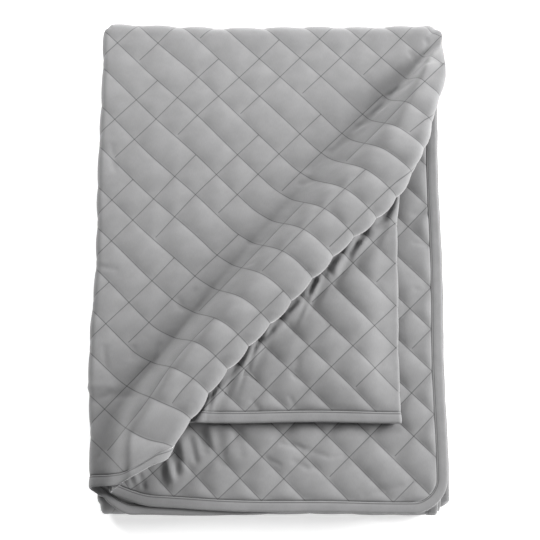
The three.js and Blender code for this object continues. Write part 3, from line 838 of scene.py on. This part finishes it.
# Distance to the next section of the binding at a point of the cloth's edge.
def binding_spacing(u, w):
    y = w + set_back(u)
    if any(ply.radius and ply.end - SHOWN_SPACING < u < ply.turn_end for ply in LAID):
        return TURN_SPACING
    fold_middles = (start + FOLD_LENGTH / 2 for start in (FAR_FOLD_Y, FRONT_FOLD_START))
    at_fold = any(abs(y - middle) < FOLD_LENGTH for middle in fold_middles)
    at_corner = min(u, WIDTH - u) < CORNER_RADIUS and min(w, LENGTH - w) < CORNER_RADIUS
    at_front = w < CORNER_RADIUS
    return SHOWN_SPACING if at_fold or at_corner or at_front else HIDDEN_SPACING


# Stations along one side of the cloth, from one corner up to the next.
def binding_stations(side):
    size = WIDTH if side in ("front", "back") else LENGTH
    edge = {"front": 0.0, "right": WIDTH, "back": LENGTH, "left": 0.0}[side]
    stations = [0.0]
    while stations[-1] < size:
        spot = (stations[-1], edge) if side in ("front", "back") else (edge, stations[-1])
        stations.append(stations[-1] + binding_spacing(*spot))
    stations = np.array(stations[:-1])
    return stations if side in ("front", "right") else size - stations


# Points of the section at each station: its inner points close up round a corner.
def binding_side(side, inset):
    stations = binding_stations(side)
    size = WIDTH if side in ("front", "back") else LENGTH
    stations, inset = np.meshgrid(stations, inset, indexing="ij")
    near = np.minimum(stations, size - stations)
    closed = CORNER_RADIUS - (CORNER_RADIUS - inset) * (CORNER_RADIUS - near) / CORNER_RADIUS
    near = np.where(near < CORNER_RADIUS, closed, near)
    along_side = np.where(stations < size / 2, near, size - near)
    return {
        "front": (along_side, inset),
        "right": (WIDTH - inset, along_side),
        "back": (along_side, LENGTH - inset),
        "left": (inset, along_side),
    }[side]


def make_binding():
    profile = np.array(BINDING_PROFILE)
    section = np.vstack((profile, (profile * (1.0, -1.0))[:0:-1]))
    inset, h = section.T
    sides = [binding_side(side, inset) for side in ("front", "right", "back", "left")]
    u = np.vstack([side[0] for side in sides])
    w = np.vstack([side[1] for side in sides])
    count, corners = u.shape
    number = np.arange(count * corners).reshape(count, corners)
    following = np.roll(number, -1, axis=0)
    faces = (number, following, np.roll(following, -1, axis=1), np.roll(number, -1, axis=1))
    faces = np.stack(faces, axis=-1).reshape(-1, 4).tolist()
    flat_u, flat_w = round_cloth(u.ravel(), w.ravel())
    points = place(flat_u, flat_w, np.tile(h, count))
    # The distance to the binding's stitch line drives the painted shade along it in the material
    return new_piece("velvet_edge_binding", points, faces, {
        "flat": flat_places(flat_u, flat_w),
        "stitch": np.tile(np.abs(inset - BINDING_STITCH), count) * MM,
    })


# Velvet: its colour, soft patches and fine streaks, painted shade along the stitch lines for their narrow
# grooves, and a short nap.
# Shades multiply the colour. Lengths are in metres of the flat cloth, and scales are per metre.
VELVET_COLOUR = (0.182, 0.182, 0.184)
NOISE_SPAN = (0.3, 0.7)
PATCH_SCALE = 34.0
PATCH_DETAIL = 3.0
PATCH_SHADES = (0.94, 1.05)
STREAK_SCALE = (900.0, 160.0, 1.0)
STREAK_DETAIL = 2.0
STREAK_SHADES = (0.97, 1.03)
# Painted shade of the stitched grooves: how far from a stitch line it reaches, in metres, and how dark it
# gets
GROOVE_SHADE_SPAN = (0.0, 0.0013)
GROOVE_PAINTED_SHADES = (0.4, 1.0)
NAP_SCALE = 1400.0
NAP_DETAIL = 2.0
NAP_STRENGTH = 0.25
NAP_DEPTH = 0.0006
VELVET_LOOK = {
    "Roughness": 0.95,
    "Specular IOR Level": 0.15,
    "Sheen Weight": 0.5,
    "Sheen Roughness": 0.5,
    "Sheen Tint": (1.0, 1.0, 1.0, 1.0),
}


class Nodes:
    """A material's node tree, with its nodes made and joined by short calls."""

    def __init__(self, name):
        self.material = bpy.data.materials.new(name)
        self.material.use_nodes = True
        self.tree = self.material.node_tree
        self.shader = self.tree.nodes["Principled BSDF"]

    # A node of the given kind, with its settings, and its inputs by name or number.
    def add(self, kind, settings, inputs):
        node = self.tree.nodes.new(f"ShaderNode{kind}")
        for key, value in settings.items():
            setattr(node, key, value)
        self.fill(node, inputs)
        return node

    # A socket is joined to its input, and anything else becomes the input's value.
    def fill(self, node, inputs):
        for key, value in inputs.items():
            socket = node.inputs[key]
            if isinstance(value, bpy.types.NodeSocket):
                self.tree.links.new(value, socket)
            else:
                socket.default_value = value

    def attribute(self, name, output):
        return self.add("Attribute", {"attribute_name": name}, {}).outputs[output]

    def product(self, first, second):
        return self.add("Math", {"operation": "MULTIPLY"}, {0: first, 1: second}).outputs[0]

    # Turns a span of values to a span of shades, with soft ends.
    def shade(self, value, span, shades):
        return self.add("MapRange", {"interpolation_type": "SMOOTHSTEP"}, {
            "Value": value,
            "From Min": span[0],
            "From Max": span[1],
            "To Min": shades[0],
            "To Max": shades[1],
        }).outputs[0]

    def noise(self, vector, scale, detail):
        inputs = {"Vector": vector, "Scale": scale, "Detail": detail}
        return self.add("TexNoise", {}, inputs).outputs["Fac"]

    def stretched(self, vector, scale):
        return self.add("Mapping", {}, {"Vector": vector, "Scale": scale}).outputs[0]


def velvet(name, stitches):
    nodes = Nodes(name)
    on_cloth = nodes.attribute("flat", "Vector")
    patches = nodes.noise(on_cloth, PATCH_SCALE, PATCH_DETAIL)
    streaks = nodes.noise(nodes.stretched(on_cloth, STREAK_SCALE), 1.0, STREAK_DETAIL)
    shade = nodes.product(
        nodes.shade(patches, NOISE_SPAN, PATCH_SHADES),
        nodes.shade(streaks, NOISE_SPAN, STREAK_SHADES),
    )
    # Painted shade: the colour darkens along each stitch line and stands in for the shade in its groove
    for stitch in stitches:
        line = nodes.shade(nodes.attribute(stitch, "Fac"), GROOVE_SHADE_SPAN, GROOVE_PAINTED_SHADES)
        shade = nodes.product(shade, line)
    tone = nodes.add("VectorMath", {"operation": "SCALE"}, {0: VELVET_COLOUR, "Scale": shade})
    bump = nodes.add("Bump", {}, {
        "Height": nodes.noise(on_cloth, NAP_SCALE, NAP_DETAIL),
        "Strength": NAP_STRENGTH,
        "Distance": NAP_DEPTH,
    })
    nodes.fill(nodes.shader, {"Base Color": tone.outputs[0], "Normal": bump.outputs[0], **VELVET_LOOK})
    return nodes.material


# The set: a pale floor, soft light and the camera
FLOOR_SIZE = 40.0
FLOOR_COLOUR = (0.93, 0.93, 0.93, 1.0)
FLOOR_LOOK = {
    "Base Color": FLOOR_COLOUR,
    "Roughness": 1.0,
    "Specular IOR Level": 0.0,
    "Emission Color": FLOOR_COLOUR,
    "Emission Strength": 0.5,
}
WORLD_COLOUR = (1.0, 1.0, 1.0, 1.0)
WORLD_STRENGTH = 0.10
LAMPS = (
    # name, place, size, power
    ("right", (6.0, 1.2, 2.5), 2.5, 1000.0),
    ("far_left", (-4.5, 4.5, 3.0), 2.5, 410.0),
    ("front", (1.0, -6.0, 2.5), 2.5, 140.0),
    ("far", (0.0, 1.1, 1.3), 0.9, 17.0),
)
CAMERA_AIM = (-0.0058, -0.0228, 0.070)
CAMERA_ELEVATION = math.radians(76.6)
CAMERA_DISTANCE = 2.2
CAMERA_LENS = 86.3
CAMERA_SENSOR = 36.0


def make_floor():
    half = FLOOR_SIZE / 2
    corners = [(-half, -half, 0), (half, -half, 0), (half, half, 0), (-half, half, 0)]
    mesh = bpy.data.meshes.new("floor")
    mesh.from_pydata(corners, [], [(0, 1, 2, 3)])
    floor = bpy.data.objects.new("floor", mesh)
    bpy.context.scene.collection.objects.link(floor)
    nodes = Nodes("pale_floor")
    nodes.fill(nodes.shader, FLOOR_LOOK)
    mesh.materials.append(nodes.material)


def make_light():
    world = bpy.data.worlds.new("soft_white")
    world.use_nodes = True
    background = world.node_tree.nodes["Background"]
    background.inputs["Color"].default_value = WORLD_COLOUR
    background.inputs["Strength"].default_value = WORLD_STRENGTH
    bpy.context.scene.world = world
    for name, spot, size, power in LAMPS:
        lamp = bpy.data.lights.new(name, "AREA")
        lamp.size = size
        lamp.energy = power
        light = bpy.data.objects.new(name, lamp)
        light.location = spot
        light.rotation_euler = (-Vector(spot)).to_track_quat("-Z", "Y").to_euler()
        bpy.context.scene.collection.objects.link(light)


def make_camera():
    data = bpy.data.cameras.new("camera")
    data.lens = CAMERA_LENS
    data.sensor_width = CAMERA_SENSOR
    camera = bpy.data.objects.new("camera", data)
    back = Vector((0.0, -math.cos(CAMERA_ELEVATION), math.sin(CAMERA_ELEVATION)))
    camera.location = Vector(CAMERA_AIM) + back * CAMERA_DISTANCE
    camera.rotation_euler = (math.pi / 2 - CAMERA_ELEVATION, 0.0, 0.0)
    bpy.context.scene.collection.objects.link(camera)
    bpy.context.scene.camera = camera


panel = make_panel()
panel.data.materials.append(velvet("quilted_velvet", ("long_stitch", "short_stitch")))
binding = make_binding()
binding.data.materials.append(velvet("binding_velvet", ("stitch",)))

for piece, node, slot in (
    (panel, "quilted_panel", "quilted_velvet"),
    (binding, "edge_binding", "binding_velvet"),
):
    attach(piece, "root")
    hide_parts(node)

make_floor()
make_light()
make_camera()
bpy.context.scene.view_settings.view_transform = "Standard"
